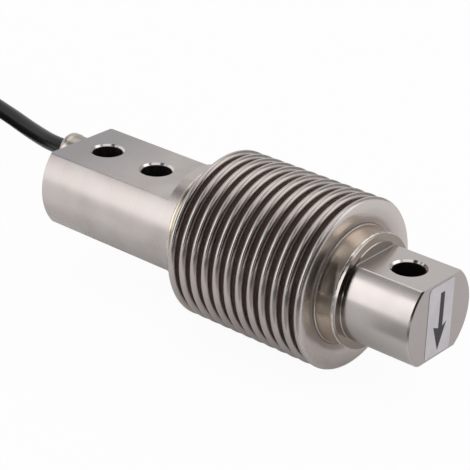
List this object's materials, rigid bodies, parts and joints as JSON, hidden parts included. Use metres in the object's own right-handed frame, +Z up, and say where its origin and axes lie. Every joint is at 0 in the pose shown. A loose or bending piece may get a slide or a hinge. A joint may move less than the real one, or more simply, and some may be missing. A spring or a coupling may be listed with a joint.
{
  "type": "bellows load cell",
  "caption": "Steel bending-beam load cell with a welded bellows, bolt holes through flats at both ends, a load direction arrow and a coiled cable.",
  "frame": {"origin": "centre of the fixed end's lower flat, midway between its two bolt holes, where the cell sits on its support", "axes": "+X along the cell from the cable end to the load end, +Z up, against the load direction that the arrow on the end face shows; the gland is on the +Y side of the axis"},
  "size_m": [0.321, 0.0476, 0.0449],
  "materials": {
    "satin_steel": "fine turned and ground stainless steel, satin to bright",
    "bellows_steel": "formed thin stainless steel, smooth, straw tint at the welds",
    "gland_steel": "turned stainless steel, slightly yellow",
    "black_rubber": "matt moulded rubber",
    "sealing_resin": "cast resin",
    "gauge_foil": "amber film with a metal foil grid",
    "enamelled_copper": "enamelled copper wire",
    "board_green": "green lacquered laminate",
    "resistor_ceramic": "glazed ceramic chip",
    "core_red": "smooth insulation",
    "core_black": "smooth insulation",
    "core_green": "smooth insulation",
    "core_white": "smooth insulation",
    "tinned_copper": "tinned stranded wire",
    "label_foil": "silver-grey film with a plain dark arrow",
    "cable_jacket": "smooth black sheath with a soft sheen",
    "white_nylon": "natural nylon"
  },
  "bodies": {
    "root": {"measuring_body": "satin_steel", "bellows": "bellows_steel", "gland_body": "gland_steel", "gland_grommet": "black_rubber", "feedthrough_plug": "sealing_resin", "strain_gauge_top_back": "gauge_foil", "strain_gauge_top_front": "gauge_foil", "strain_gauge_bottom_back": "gauge_foil", "strain_gauge_bottom_front": "gauge_foil", "gauge_lead_top_back": "enamelled_copper", "gauge_lead_top_front": "enamelled_copper", "gauge_lead_bottom_back": "enamelled_copper", "gauge_lead_bottom_front": "enamelled_copper", "terminal_board": "board_green", "zero_resistor": "resistor_ceramic", "span_resistor": "resistor_ceramic", "core_red": "core_red", "core_black": "core_black", "core_green": "core_green", "core_white": "core_white", "direction_label": "label_foil", "cable": "cable_jacket", "cable_hank": "cable_jacket", "cable_tail": "cable_jacket", "cable_tie_left": "white_nylon", "cable_tie_right": "white_nylon", "lead_red": "core_red", "lead_black": "core_black", "lead_green": "core_green", "lead_white": "core_white", "lead_drain": "tinned_copper"}
  },
  "joints": []
}
